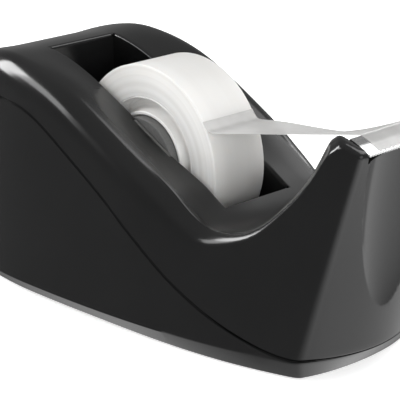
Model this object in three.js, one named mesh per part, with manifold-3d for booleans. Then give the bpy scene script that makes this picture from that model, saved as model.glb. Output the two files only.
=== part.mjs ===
// A weighted desk tape dispenser: a swoosh-shaped glossy case with a roll of
// tape on a drop-in hub and a toothed cutter on its nose.
// Millimetres. +X points to the cutter, +Z up, the table is at z = 0.
// Inside the group x = 0 is the axis of the roll; frameShift then centres the
// whole part on the origin.
import * as THREE from "three";
import { ParametricGeometry } from "three/addons/geometries/ParametricGeometry.js";
import { mergeVertices } from "three/addons/utils/BufferGeometryUtils.js";
import Module from "manifold-3d";

// ---- driving dimensions -------------------------------------------------
const gap = 0.3; // clearance between pieces that touch

const tailX = -72.5; // rearmost point of the case
const noseX = 77.3; // front of the case at the foot
const waistX = -22; // where the case is widest
const halfWidth = 34.8; // half the width at the waist
const cornerX = 67.3; // where the side meets the rounded front
const cornerHalf = 23.2; // half the width there
const cornerRound = [2.2, 0.8]; // from there to where the two would meet
const frontHalf = 20.6; // half the width where the rounded front starts
const frontRadius = 35; // plan radius of the front at the foot
const footHeight = 0.5; // lower edge of the housing above the table
const bandHeight = 4.5; // top of the turned-under band
const bandInset = 3.6; // how far the band turns under at the sides
const bandFrontInset = 4.5; // and at the front
const frontSeamHeight = 5.7; // where the two case halves part at the front
const crestHeight = 67.4; // highest point of the hump
const noseTopHeight = 65.2; // highest point of the nose
const valleyHeight = 34.1; // lowest point of the swoosh
const sideTaper = 0.1; // narrowing of the case over taperSpan, at the rear
const noseTaper = 0.26; // and at the nose
const taperSpan = 60;
const noseLean = 0.115; // forward lean of the front per millimetre of height
const wall = 3; // case wall

const rollRadius = 26.9;
const rollHeight = rollRadius + 14.1; // height of the roll's axis
const tapeWidth = 19;
const coreBore = 12.7; // radius of a 25 mm core's bore
const coreOuter = coreBore + 4.9;
const coreWall = 1;
const leaderThickness = 0.4;

const wellHalf = tapeWidth / 2 + 2.5; // half the width of the roll's well
const wellBack = -rollRadius - 10.4;
const wellFront = rollRadius + 6.6;
const wellFloor = rollHeight - rollRadius - 4.1;
const wellWall = 3.6;
const wellFloorWall = 2.4;

const seatTilt = THREE.MathUtils.degToRad(36); // the hub seats lean forward
const seatRadius = coreBore - 1;
const seatReach = seatRadius - 1.5; // from the roll's axis to the mouth of a seat
const seatDepth = 1.9;
const hubRadius = coreBore - gap;
const spigotRadius = 5;

// The blade's rear edge, fold and toothed edge in side view.
const bladeHalf = wellHalf + 1.6;
const bladeThickness = 0.6;
const bladeRear = new THREE.Vector2(noseX, noseTopHeight - 0.8);
const bladeFold = new THREE.Vector2(noseX + 3.2, noseTopHeight - 2);
const bladeTip = new THREE.Vector2(noseX + 6.6, noseTopHeight - 3.8);
const toothPitch = 1.6;
const toothDepth = 1.2;
const carrierDrop = 5.6; // depth of the pocket under the blade
const carrierFront = noseX + 3.7;

const scoopDeep = 8.4; // half axes of the thumb scoop's ellipsoid
const scoopAcross = 16.5;
const scoopTall = 41;
const scoopStandOff = 5; // its centre, in front of the face
const scoopHeight = 50;
const scoopWall = 2.2;

const plateThickness = 2.2;
const padThickness = 1.6;
const padInset = 8;
const screwRadius = 1.4;
const headRadius = 2.9;
const headHeight = 1.2;
const caseScrewLength = 12;
const ballastScrewLength = 9.5;
const bossRadius = 3.6;
const bossSpots = [
  [wellBack - 14.7, halfWidth - 17.8],
  [wellBack - 14.7, 17.8 - halfWidth],
  [wellFront + 18.5, cornerHalf - 9.7],
  [wellFront + 18.5, 9.7 - cornerHalf],
];
const ballastScrewSpots = { rear: wellBack - 20.7, front: wellFront + 22.5 };
const ballastGap = 1.5;
const rearBallastEnds = [wellBack - 28.7, wellBack - 8.7];
const rearBallastTop = crestHeight - 29.4;
const frontBallastEnds = [wellFront + 7.5, wellFront + 32.5];
const frontBallastTop = valleyHeight - 8.1;

// ---- solids -------------------------------------------------------------
const wasm = await Module();
wasm.setup();

// A closed geometry as a manifold-3d solid, with its shared corners merged.
function solid(geometry, matrix = new THREE.Matrix4()) {
  const bare = new THREE.BufferGeometry();
  bare.setAttribute("position", geometry.getAttribute("position").clone());
  if (geometry.index) bare.setIndex(geometry.index.clone());
  bare.applyMatrix4(matrix);
  const merged = mergeVertices(bare, 1e-4);
  const index = merged.index.array;
  const kept = [];
  for (let i = 0; i < index.length; i += 3) {
    const [a, b, c] = [index[i], index[i + 1], index[i + 2]];
    if (a !== b && b !== c && c !== a) kept.push(a, b, c);
  }
  const mesh = new wasm.Mesh({
    numProp: 3,
    vertProperties: Float32Array.from(merged.attributes.position.array),
    triVerts: Uint32Array.from(kept),
  });
  return new wasm.Manifold(mesh);
}

function geometryOf(manifold) {
  const { vertProperties, triVerts } = manifold.getMesh();
  const geometry = new THREE.BufferGeometry();
  geometry.setAttribute("position", new THREE.BufferAttribute(vertProperties, 3));
  geometry.setIndex(new THREE.BufferAttribute(triVerts, 1));
  const faceted = geometry.toNonIndexed();
  faceted.computeVertexNormals();
  return faceted;
}

function box(x0, x1, y0, y1, z0, z1) {
  const geometry = new THREE.BoxGeometry(x1 - x0, y1 - y0, z1 - z0);
  geometry.translate((x0 + x1) / 2, (y0 + y1) / 2, (z0 + z1) / 2);
  return solid(geometry);
}

function uprightCylinder(x, y, z0, z1, radius, segments = 24) {
  const geometry = new THREE.CylinderGeometry(radius, radius, z1 - z0, segments);
  geometry.rotateX(Math.PI / 2);
  geometry.translate(x, y, (z0 + z1) / 2);
  return solid(geometry);
}

// A side view outline in (x, z), given its width in y.
function sideExtrusion(points, y0, y1) {
  const shape = new THREE.Shape(points);
  const geometry = new THREE.ExtrudeGeometry(shape, { depth: y1 - y0, bevelEnabled: false });
  geometry.rotateX(Math.PI / 2);
  geometry.translate(0, y1, 0);
  return solid(geometry);
}

// A profile of (radius, y) turned about the roll's axis.
function turned(profile, segments = 36) {
  const points = profile.map(([radius, y]) => new THREE.Vector2(radius, y));
  const geometry = new THREE.LatheGeometry(points, segments);
  return solid(geometry);
}

const smoothstep = THREE.MathUtils.smoothstep;

// Limits well clear of the case, for cutting it.
const below = -10;
const reachY = 60;
const ceiling = 120;
const beyond = 100;

// ---- the case's own surface ---------------------------------------------
// Half of the plan outline at the top of the band: tail, side, corner, front.
// A span is [from, to, steps] along its curve, finer where the nose rises.
const frontCentre = noseX - frontRadius;
const cornerEnd = new THREE.Vector2(
  frontCentre + Math.sqrt(frontRadius ** 2 - frontHalf ** 2),
  frontHalf,
);
const outlineCurves = [
  {
    curve: new THREE.CubicBezierCurve(
      new THREE.Vector2(tailX, 0),
      new THREE.Vector2(tailX, halfWidth * 0.75),
      new THREE.Vector2(waistX - 30, halfWidth),
      new THREE.Vector2(waistX, halfWidth),
    ),
    spans: [[0, 1, 13]],
  },
  {
    curve: new THREE.CubicBezierCurve(
      new THREE.Vector2(waistX, halfWidth),
      new THREE.Vector2(waistX + 42, halfWidth + 0.2),
      new THREE.Vector2(cornerX - 22.3, cornerHalf + 7.6),
      new THREE.Vector2(cornerX, cornerHalf),
    ),
    spans: [
      [0, 0.7, 12],
      [0.7, 1, 13],
    ],
  },
  {
    curve: new THREE.QuadraticBezierCurve(
      new THREE.Vector2(cornerX, cornerHalf),
      new THREE.Vector2(cornerX + cornerRound[0], cornerHalf - cornerRound[1]),
      cornerEnd,
    ),
    spans: [[0, 1, 3]],
  },
];
const outline = [];
for (const { curve, spans } of outlineCurves) {
  for (const [from, to, steps] of spans) {
    for (let i = 0; i < steps; i += 1) {
      outline.push(curve.getPoint(THREE.MathUtils.lerp(from, to, i / steps)));
    }
  }
}
const frontBow = noseX - cornerEnd.x; // how far the round front stands before its corners
const arcStart = Math.asin(cornerEnd.y / frontRadius);
const arcSteps = 8;
for (let i = 0; i <= arcSteps; i += 1) {
  const angle = arcStart * (1 - i / arcSteps);
  outline.push(
    new THREE.Vector2(frontCentre + frontRadius * Math.cos(angle), frontRadius * Math.sin(angle)),
  );
}

// The ridge of the rims in side view, from the tail over the hump, down to the
// valley and up the nose, before the nose leans forward.
const ridgePoints = [
  [tailX, crestHeight - 27.4],
  [tailX + 2.5, crestHeight - 18.4],
  [tailX + 6.5, crestHeight - 10.4],
  [tailX + 12.5, crestHeight - 5.2],
  [tailX + 20.5, crestHeight - 1.9],
  [-41, crestHeight],
  [-30, crestHeight - 0.9],
  [-20, crestHeight - 3.1],
  [-12, crestHeight - 6],
  [-4, crestHeight - 9.9],
  [5, crestHeight - 14.7],
  [15, valleyHeight + 13.2],
  [25, valleyHeight + 7.6],
  [33, valleyHeight + 2.5],
  [40, valleyHeight],
  [46.6, valleyHeight + 1],
  [51.4, valleyHeight + 4.8],
  [55.4, valleyHeight + 12.4],
  [58, valleyHeight + 19.9],
  [59.6, noseTopHeight - 3.7],
  [60.8, noseTopHeight - 0.9],
  [62.8, noseTopHeight],
  [67, noseTopHeight - 0.7],
  [73.5, noseTopHeight - 1.9],
  [76, noseTopHeight - 3.4],
  [noseX, noseTopHeight - 5],
];
const ridgeLine = new THREE.SplineCurve(
  ridgePoints.map(([x, z]) => new THREE.Vector2(x, z)),
).getPoints(400);

function ridgeHeight(x) {
  if (x <= ridgeLine[0].x) return ridgeLine[0].y;
  for (let i = 1; i < ridgeLine.length; i += 1) {
    const [a, b] = [ridgeLine[i - 1], ridgeLine[i]];
    if (x <= b.x) return a.y + ((b.y - a.y) * (x - a.x)) / (b.x - a.x);
  }
  return ridgeLine[ridgeLine.length - 1].y;
}

// The ridge lowered by a wall, measured square to the surface.
function loweredRidge(x, thickness) {
  let height = Infinity;
  for (let step = -3; step <= 3; step += 1) {
    const across = (thickness * step) / 3;
    const down = Math.sqrt(thickness ** 2 - across ** 2);
    height = Math.min(height, ridgeHeight(x + across) - down);
  }
  return height;
}

// The channel between the rims is shallow over the hump, deeper on the slope
// beside the roll and nearly level again in front of the well.
function channelDepth(x) {
  const slope = smoothstep(x, wellBack, -8) * (1 - smoothstep(x, 8, wellFront));
  return 0.4 + 2.5 * slope + 1.1 * smoothstep(x, wellFront, 55);
}

const taperAt = (x, z) => {
  const share = sideTaper + (noseTaper - sideTaper) * smoothstep(x, 10, 60);
  return 1 - (share * (z - bandHeight)) / taperSpan;
};

// Moves a point of the upright case into the leaning nose. The front is round
// in plan at the foot and straight at the top, under the cutter.
function lean(point) {
  const { x, y, z } = point;
  const share = smoothstep(x, 40, 64);
  const rise = z - frontSeamHeight;
  const bow = (y / taperAt(x, z) / cornerEnd.y) ** 2;
  const flat = THREE.MathUtils.clamp(rise / (noseTopHeight - frontSeamHeight - 4), 0, 1);
  let forward = noseLean * rise + frontBow * bow * flat;
  if (rise < 0) forward += (bandFrontInset * Math.max(0, 1 - bow) * rise) / frontSeamHeight;
  point.x = x + share * forward;
  return point;
}

// One half of the case's cross-section at a station, from the middle of the
// bottom round to the middle of the top: [y, z] pairs.
function halfSection(x, half, thickness, bottom) {
  const [sideSteps, filletSteps, topSteps] = thickness > 0 ? [2, 3, 3] : [3, 5, 6];
  const shrink = 1 - thickness / halfWidth;
  const h = half * shrink;
  const top = thickness > 0 ? loweredRidge(x, thickness) : ridgeHeight(x);
  const nose = smoothstep(x, 15, 62);
  const filletDrop = THREE.MathUtils.lerp(8.5, 2, nose);
  const ridgeShare = THREE.MathUtils.lerp(0.77, 0.93, nose);
  const dip = channelDepth(x) * smoothstep(half, 8, 30);
  const inset = THREE.MathUtils.lerp(bandInset, 1.4, smoothstep(x, -5, cornerX)) * (half / halfWidth);
  const points = [
    [0, bottom],
    [(h - inset) * 0.5, bottom],
    [h - inset, bottom],
  ];
  const shoulder = top - filletDrop;
  for (let i = 0; i <= sideSteps; i += 1) {
    const z = THREE.MathUtils.lerp(bandHeight, shoulder, i / sideSteps);
    points.push([h * taperAt(x, z), z]);
  }
  const edge = h * taperAt(x, shoulder);
  const ridge = edge * ridgeShare;
  for (let i = 1; i <= filletSteps; i += 1) {
    const angle = (Math.PI / 2) * (i / filletSteps);
    points.push([
      ridge + (edge - ridge) * Math.cos(angle),
      shoulder + filletDrop * Math.sin(angle),
    ]);
  }
  for (let i = 1; i <= topSteps; i += 1) {
    const share = 1 - i / topSteps;
    const hollow = 1 - smoothstep(ridge * share, wellHalf - 1, ridge);
    points.push([ridge * share, top - dip * hollow]);
  }
  return points;
}

// The whole case as one solid, or its inside when a thickness is given.
function caseSolid(thickness = 0, bottom = footHeight) {
  const middle = (tailX + noseX) / 2;
  const scale = 1 - (2 * thickness) / (noseX - tailX);
  const last = outline.length - 1;
  const stations = outline.filter((point, i) => thickness === 0 || i % 2 === 0 || i === last);
  const sections = stations.map(({ x, y }) => {
    const at = middle + (x - middle) * scale;
    const half = halfSection(at, Math.max(y, 0), thickness, bottom);
    const mirrored = half.slice(1, -1).reverse();
    const ring = [...half, ...mirrored.map(([across, z]) => [-across, z]), half[0]];
    return ring.map(([across, z]) => lean(new THREE.Vector3(at, across, z)));
  });
  const around = sections[0].length - 1;
  const along = sections.length - 1;
  const geometry = new ParametricGeometry(
    (u, v, target) => target.copy(sections[Math.round(v * along)][Math.round(u * around)]),
    around,
    along,
  );
  return solid(geometry);
}

const outer = caseSolid();
const inner = caseSolid(wall, below);

// ---- where the two case halves part -------------------------------------
const seamPoints = [
  [-beyond, -5],
  [-84, crestHeight - 53.4],
  [-74, crestHeight - 40.4],
  [-66, crestHeight - 28.4],
  [-56, crestHeight - 18.4],
  [-45, crestHeight - 12.8],
  [-34, crestHeight - 11.5],
  [-22, crestHeight - 14],
  [-5.4, crestHeight - 23],
  [7.3, crestHeight - 31],
  [16.8, crestHeight - 38.2],
  [30.5, valleyHeight - 14.8],
  [44.7, valleyHeight - 22.3],
  [58.1, frontSeamHeight + 1.5],
  [66.6, frontSeamHeight],
  [74, frontSeamHeight],
  [beyond, frontSeamHeight],
];
const seam = new THREE.SplineCurve(
  seamPoints.map(([x, z]) => new THREE.Vector2(x, z)),
).getPoints(60);
const aboveSeam = sideExtrusion(
  [...seam, new THREE.Vector2(beyond, ceiling), new THREE.Vector2(-beyond, ceiling)],
  -reachY,
  reachY,
);
const loweredSeam = seam.map(({ x, y }) => new THREE.Vector2(x, y - gap));
const belowSeam = sideExtrusion(
  [...loweredSeam, new THREE.Vector2(beyond, below), new THREE.Vector2(-beyond, below)],
  -reachY,
  reachY,
);

// ---- hub, its seats, and the cutter's pocket ----------------------------
const seatDirection = new THREE.Vector2(Math.sin(seatTilt), Math.cos(seatTilt));

// A U: half round below the axis, straight sides out along the seat direction.
function seatOutline(radius, reach) {
  const points = [];
  const steps = 20;
  const across = new THREE.Vector2(seatDirection.y, -seatDirection.x);
  const centre = new THREE.Vector2(0, rollHeight);
  for (let i = 0; i <= steps; i += 1) {
    const angle = Math.PI * (i / steps);
    points.push(
      centre
        .clone()
        .addScaledVector(across, -radius * Math.cos(angle))
        .addScaledVector(seatDirection, -radius * Math.sin(angle)),
    );
  }
  points.push(centre.clone().addScaledVector(across, radius).addScaledVector(seatDirection, reach));
  points.push(centre.clone().addScaledVector(across, -radius).addScaledVector(seatDirection, reach));
  return points;
}

const seatMouth = 60;
const nearSeat = sideExtrusion(
  seatOutline(seatRadius, seatMouth),
  -wellHalf - seatDepth,
  -wellHalf + 1,
);
const farSeat = sideExtrusion(
  seatOutline(seatRadius, seatMouth),
  wellHalf - 1,
  wellHalf + seatDepth,
);

// The pocket between the nose's two ears holds the carrier; behind it the nose
// slopes away so that the tape runs clear to the blade.
const bladeDirection = bladeTip.clone().sub(bladeFold).normalize();
const platformDirection = bladeFold.clone().sub(bladeRear).normalize();
const squareTo = (direction) => new THREE.Vector2(-direction.y, direction.x);
const under = (point, direction, depth) => point.clone().addScaledVector(squareTo(direction), -depth);
const pocketFloor = bladeRear.y - bladeThickness - carrierDrop;
const pocketBack = bladeRear.x - 0.9;
const pocketRear = bladeRear.x - 16;
const nosePocket = sideExtrusion(
  [
    new THREE.Vector2(pocketRear, ceiling),
    new THREE.Vector2(pocketRear, bladeRear.y - 7.5),
    new THREE.Vector2(pocketBack, bladeRear.y - 1.2),
    new THREE.Vector2(pocketBack, pocketFloor),
    new THREE.Vector2(beyond, pocketFloor),
    new THREE.Vector2(beyond, ceiling),
  ],
  -bladeHalf - gap,
  bladeHalf + gap,
);

// The thumb scoop below the cutter is part of a long ellipsoid that stands
// partly in front of the leaning face.
function scoopEllipsoid(grow) {
  const geometry = new THREE.SphereGeometry(1, 40, 28);
  geometry.scale(scoopDeep + grow, scoopAcross + grow, scoopTall + grow);
  geometry.translate(scoopStandOff, 0, 0);
  geometry.rotateY(Math.atan(noseLean));
  const faceX = noseX + noseLean * (scoopHeight - frontSeamHeight);
  geometry.translate(faceX, 0, scoopHeight);
  return solid(geometry);
}

// ---- case pieces ----------------------------------------------------------
const wellBox = box(wellBack, wellFront, -wellHalf, wellHalf, wellFloor, ceiling);
const tubBox = box(
  wellBack - wellWall,
  wellFront + wellWall,
  -wellHalf - wellWall,
  wellHalf + wellWall,
  wellFloor - wellFloorWall,
  ceiling,
);
const plateBottom = padThickness + gap;
const plateTop = plateBottom + plateThickness;
const bossFoot = plateTop + gap;
const pilotDepth = caseScrewLength - 1;

// The well's tub, the wall behind the scoop, the block that carries the cutter
// and the screw bosses all belong to the top shell.
let topShell = outer.subtract(inner).intersect(aboveSeam);
topShell = topShell.add(tubBox.intersect(outer));
topShell = topShell.add(scoopEllipsoid(scoopWall).intersect(outer).intersect(aboveSeam));
const blockHalf = bladeHalf + 2;
const noseBlock = box(noseX - 9.3, beyond, -blockHalf, blockHalf, pocketFloor - 2.4, ceiling);
topShell = topShell.add(noseBlock.intersect(outer));
for (const [x, y] of bossSpots) {
  const boss = uprightCylinder(x, y, bossFoot, ceiling, bossRadius, 16);
  topShell = topShell.add(boss.intersect(outer));
}
topShell = topShell.subtract(wellBox).subtract(nearSeat).subtract(farSeat);
topShell = topShell.subtract(nosePocket).subtract(scoopEllipsoid(0));
for (const [x, y] of bossSpots) {
  const pilot = uprightCylinder(x, y, below, bossFoot + pilotDepth, screwRadius + gap, 12);
  topShell = topShell.subtract(pilot);
}

const lowerHousing = outer.subtract(inner).intersect(belowSeam);

const insideLoft = caseSolid(wall + gap, below);
const plateSlab = box(-beyond, beyond, -reachY, reachY, plateBottom, plateTop);
let basePlate = plateSlab.intersect(insideLoft);
const screwSpots = [
  ...bossSpots,
  [ballastScrewSpots.rear, 0],
  [ballastScrewSpots.front, 0],
];
for (const [x, y] of screwSpots) {
  const headTop = plateBottom + headHeight + gap;
  basePlate = basePlate
    .subtract(uprightCylinder(x, y, below, ceiling, screwRadius + gap, 16))
    .subtract(uprightCylinder(x, y, below, headTop, headRadius + gap, 20));
}

const padLoft = caseSolid(padInset, below);
const nonskidPad = box(-beyond, beyond, -reachY, reachY, 0, padThickness).intersect(padLoft);

function ballast([x0, x1], top) {
  const room = caseSolid(wall + ballastGap, below);
  let block = box(x0, x1, -reachY, reachY, bossFoot, top).intersect(room);
  for (const [x, y] of bossSpots) {
    block = block.subtract(uprightCylinder(x, y, below, ceiling, bossRadius + gap, 16));
  }
  for (const x of Object.values(ballastScrewSpots)) {
    const pilotTop = plateTop + ballastScrewLength - 0.5;
    block = block.subtract(uprightCylinder(x, 0, below, pilotTop, screwRadius + gap, 16));
  }
  return block;
}

// ---- hub, roll and cutter -------------------------------------------------
const hubHalf = wellHalf - gap; // the round body ends just inside the walls
const plateOutline = seatOutline(seatRadius - gap, seatReach - gap);
const endPlateInner = hubHalf - 0.2;
const endPlateOuter = wellHalf + seatDepth - gap;
const nearEndPlate = sideExtrusion(plateOutline, -endPlateOuter, -endPlateInner);
const farEndPlate = sideExtrusion(plateOutline, endPlateInner, endPlateOuter);

function axisCylinder(radius, y0, y1, segments = 48) {
  const geometry = new THREE.CylinderGeometry(radius, radius, y1 - y0, segments);
  geometry.translate(0, (y0 + y1) / 2, rollHeight);
  return solid(geometry);
}
const spigotLength = 8;
let hubNear = axisCylinder(hubRadius, -hubHalf, -gap / 2).add(nearEndPlate);
hubNear = hubNear.add(axisCylinder(spigotRadius, -gap, spigotLength, 32));
let hubFar = axisCylinder(hubRadius, gap / 2, hubHalf).add(farEndPlate);
hubFar = hubFar.subtract(axisCylinder(spigotRadius + gap, -1, spigotLength + gap, 32));

const halfTape = tapeWidth / 2;
const coreInner = coreBore + 1.3;
const webRoot = coreInner + 0.8;
const coreRim = coreOuter - coreWall;
const web = 3.2; // half thickness of the core's web
const tapeCore = turned([
  [coreBore, -halfTape],
  [coreInner, -halfTape],
  [webRoot, -web],
  [coreRim, -web],
  [coreRim, -halfTape],
  [coreOuter, -halfTape],
  [coreOuter, halfTape],
  [coreRim, halfTape],
  [coreRim, web],
  [webRoot, web],
  [coreInner, halfTape],
  [coreBore, halfTape],
  [coreBore, -halfTape],
]).translate([0, 0, rollHeight]);
const rollBore = coreOuter + gap;
const tapeRoll = turned(
  [
    [rollBore, -halfTape],
    [rollRadius, -halfTape],
    [rollRadius, halfTape],
    [rollBore, halfTape],
    [rollBore, -halfTape],
  ],
  72,
).translate([0, 0, rollHeight]);

// A bent strip of even thickness along a line of points in side view.
function strip(points, thickness, halfAcross) {
  const upper = points.map((point, i) => {
    const before = points[Math.max(i - 1, 0)];
    const after = points[Math.min(i + 1, points.length - 1)];
    const direction = after.clone().sub(before).normalize();
    return under(point, direction, -thickness);
  });
  return sideExtrusion([...points, ...upper.reverse()], -halfAcross, halfAcross);
}

// The free end of the tape: it peels off the roll, runs to the blade and
// lies over it to just short of the teeth.
const peelAngle = THREE.MathUtils.degToRad(33);
const peelRadius = rollRadius + gap;
const peelStart = new THREE.Vector2(
  peelRadius * Math.cos(peelAngle),
  rollHeight + peelRadius * Math.sin(peelAngle),
);
const clearOfBlade = gap + 0.02;
const restsAt = (point, direction) => under(point, direction, -clearOfBlade);
const leaderFoot = new THREE.Vector2(rollRadius + 0.7, rollHeight + 12.7);
const leaderEnd = restsAt(bladeRear, platformDirection).add(new THREE.Vector2(-1.5, -0.1));
const between = (share) => leaderFoot.clone().lerp(leaderEnd, share);
const leaderRun = new THREE.SplineCurve([
  peelStart,
  leaderFoot.clone().add(new THREE.Vector2(-2.4, 0.2)),
  leaderFoot,
  between(0.085).add(new THREE.Vector2(0, 0.27)),
  between(0.345),
  between(0.616),
  leaderEnd,
]).getPoints(24);
const leaderLine = [
  ...leaderRun,
  restsAt(bladeRear, platformDirection).add(new THREE.Vector2(0, 0.15)),
  restsAt(bladeFold, platformDirection).add(new THREE.Vector2(0.1, 0.1)),
  restsAt(bladeTip, bladeDirection).addScaledVector(bladeDirection, -0.2),
];
const tapeLeader = strip(leaderLine, leaderThickness, halfTape);

const bladeLine = [bladeRear, bladeFold, bladeTip];
let cutterBlade = sideExtrusion(
  [
    ...bladeLine,
    under(bladeTip, bladeDirection, bladeThickness),
    under(bladeFold, bladeDirection, bladeThickness),
    under(bladeRear, platformDirection, bladeThickness),
  ],
  -bladeHalf,
  bladeHalf,
);
const toothCount = Math.floor((2 * bladeHalf) / toothPitch);
const toothStart = -(toothCount * toothPitch) / 2;
const notchHalf = toothPitch / 2 - 0.07;
for (let i = 0; i <= toothCount; i += 1) {
  const notch = new THREE.CylinderGeometry(toothDepth, toothDepth, 8, 4);
  notch.rotateZ(Math.PI / 2);
  notch.scale(1, notchHalf / toothDepth, 1);
  const turn = new THREE.Matrix4().makeTranslation(
    bladeTip.x,
    toothStart + i * toothPitch,
    bladeTip.y,
  );
  const tilt = new THREE.Matrix4().makeRotationY(
    Math.PI / 2 - Math.atan2(bladeDirection.y, bladeDirection.x),
  );
  cutterBlade = cutterBlade.subtract(solid(notch, turn.multiply(tilt)));
}

const carrierTop = gap + bladeThickness;
const bladeCarrier = sideExtrusion(
  [
    under(bladeRear, platformDirection, carrierTop),
    new THREE.Vector2(bladeRear.x + 0.2, pocketFloor + gap),
    new THREE.Vector2(carrierFront, pocketFloor + gap),
    new THREE.Vector2(carrierFront - 0.6, bladeFold.y - carrierTop - 0.2),
  ].reverse(),
  -bladeHalf,
  bladeHalf,
);

// A screw with its head down, its foot at the given height.
function screw(foot, length) {
  const profile = [
    [0, foot],
    [headRadius, foot],
    [headRadius, foot + headHeight],
    [screwRadius, foot + headHeight],
    [screwRadius, foot + length - 1],
    [0, foot + length],
  ].map(([radius, z]) => new THREE.Vector2(radius, z));
  const geometry = new THREE.LatheGeometry(profile, 16);
  geometry.rotateX(Math.PI / 2);
  geometry.scale(1, -1, 1);
  const index = geometry.index.array;
  for (let i = 0; i < index.length; i += 3) {
    [index[i + 1], index[i + 2]] = [index[i + 2], index[i + 1]];
  }
  return solid(geometry);
}

// ---- finishes -------------------------------------------------------------
const finish = (color, roughness, metalness = 0) =>
  new THREE.MeshStandardMaterial({ color, roughness, metalness });
const glossBlack = finish(0x16171a, 0.16);
const mattBlack = finish(0x2b2c2e, 0.55);
const foamBlack = finish(0x1b1b1b, 0.95);
const ballastGrey = finish(0x6d6f70, 0.6, 0.6);
const screwSteel = finish(0xa9abad, 0.35, 1);
const bladeSteel = finish(0xd2d3d4, 0.22, 1);
const coreWhite = finish(0xf0efec, 0.4);
const tapeFrost = finish(0xe6e3de, 0.45);

// ---- the assembly -----------------------------------------------------------
const partFront = 84.07; // the foremost point, at the end of the tape
const frameShift = -(tailX + partFront) / 2;
const dispenser = new THREE.Group();
const inRollFrame = new THREE.Group();
inRollFrame.position.x = frameShift;
dispenser.add(inRollFrame);

function place(name, manifold, material) {
  const mesh = new THREE.Mesh(geometryOf(manifold), material);
  mesh.name = name;
  inRollFrame.add(mesh);
}

place("top_shell", topShell, glossBlack);
place("lower_housing", lowerHousing, glossBlack);
place("base_plate", basePlate, mattBlack);
place("nonskid_pad", nonskidPad, foamBlack);
place("rear_ballast", ballast(rearBallastEnds, rearBallastTop), ballastGrey);
place("front_ballast", ballast(frontBallastEnds, frontBallastTop), ballastGrey);
bossSpots.forEach(([x, y], i) => {
  place(`case_screw_${i + 1}`, screw(plateBottom, caseScrewLength).translate([x, y, 0]), screwSteel);
});
for (const [end, x] of Object.entries(ballastScrewSpots)) {
  place(`${end}_ballast_screw`, screw(plateBottom, ballastScrewLength).translate([x, 0, 0]), screwSteel);
}
place("hub_near_half", hubNear, mattBlack);
place("hub_far_half", hubFar, mattBlack);
place("tape_core", tapeCore, coreWhite);
place("tape_roll", tapeRoll, tapeFrost);
place("tape_leader", tapeLeader, tapeFrost);
place("blade_carrier", bladeCarrier, mattBlack);
place("cutter_blade", cutterBlade, bladeSteel);

export default dispenser;
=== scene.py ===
import math

import bmesh
import bpy
import numpy as np
from mathutils import Matrix, Vector


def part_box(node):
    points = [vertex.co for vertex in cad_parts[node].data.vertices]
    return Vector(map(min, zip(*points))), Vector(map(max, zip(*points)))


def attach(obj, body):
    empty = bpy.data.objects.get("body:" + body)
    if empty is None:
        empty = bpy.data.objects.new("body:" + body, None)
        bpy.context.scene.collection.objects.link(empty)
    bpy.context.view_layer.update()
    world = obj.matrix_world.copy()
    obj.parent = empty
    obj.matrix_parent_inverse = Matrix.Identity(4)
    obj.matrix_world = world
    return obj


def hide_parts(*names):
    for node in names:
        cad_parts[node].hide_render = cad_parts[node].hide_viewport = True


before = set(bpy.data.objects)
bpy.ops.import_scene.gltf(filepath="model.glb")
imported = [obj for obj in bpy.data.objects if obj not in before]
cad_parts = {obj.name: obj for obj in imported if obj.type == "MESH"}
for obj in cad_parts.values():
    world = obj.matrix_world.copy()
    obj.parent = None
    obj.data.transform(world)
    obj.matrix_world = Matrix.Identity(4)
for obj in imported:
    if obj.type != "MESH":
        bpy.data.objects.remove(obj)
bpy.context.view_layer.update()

# Shapes are worked out in millimetres with x = 0 at the roll's axis, and moved
# to the frame's own place when they become meshes.
millimetre = 0.001
rollLow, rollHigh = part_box("tape_roll")
rollCentre = (rollLow + rollHigh) / 2
rollRadius = (rollHigh.z - rollLow.z) / 2 / millimetre
rollHeight = rollCentre.z / millimetre
tapeHalf = rollHigh.y / millimetre
intoFrame = Matrix.Translation((rollCentre.x, 0, 0)) @ Matrix.Scale(millimetre, 4)

gap = 0.3  # clearance between pieces that touch
farX, farY, farZ = 100, 60, 120  # well past the part, for cutting tools
below = -10


def smoothstep(x, low, high):
    t = np.clip((np.asarray(x, float) - low) / (high - low), 0, 1)
    return t * t * (3 - 2 * t)


def lerp(a, b, t):
    return a + (b - a) * t


def bezier(points, t):
    # Any degree, by repeated interpolation.
    rows = [np.array(p, float) for p in points]
    while len(rows) > 1:
        rows = [lerp(a, b, t) for a, b in zip(rows, rows[1:])]
    return rows[0]


def smoothLine(points, steps):
    # Catmull-Rom through the points, with the same number of steps in each span.
    p = np.array(points, float)
    p = np.vstack([p[0], p, p[-1]])
    line = []
    for i in range(1, len(p) - 2):
        a, b, c, d = p[i - 1 : i + 3]
        for t in np.arange(steps) / steps:
            line.append(
                b
                + 0.5 * t * (c - a)
                + t * t * (a - 2.5 * b + 2 * c - 0.5 * d)
                + 0.5 * t**3 * (3 * b - 3 * c + d - a)
            )
    line.append(p[-2])
    return np.array(line)


def makeObject(name, verts, faces, material=None):
    mesh = bpy.data.meshes.new(name)
    mesh.from_pydata([tuple(map(float, v)) for v in verts], [], [tuple(f) for f in faces])
    mesh.validate()
    piece = bpy.data.objects.new(name, mesh)
    bpy.context.scene.collection.objects.link(piece)
    if material:
        mesh.materials.append(material)
    return piece


def editMesh(piece, work):
    bm = bmesh.new()
    bm.from_mesh(piece.data)
    work(bm)
    bm.to_mesh(piece.data)
    bm.free()


def cleanUp(piece, distance=1e-4):
    def work(bm):
        bmesh.ops.remove_doubles(bm, verts=bm.verts, dist=distance)
        bmesh.ops.dissolve_degenerate(bm, edges=bm.edges, dist=distance)
        bmesh.ops.recalc_face_normals(bm, faces=bm.faces)

    editMesh(piece, work)
    return piece


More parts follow.
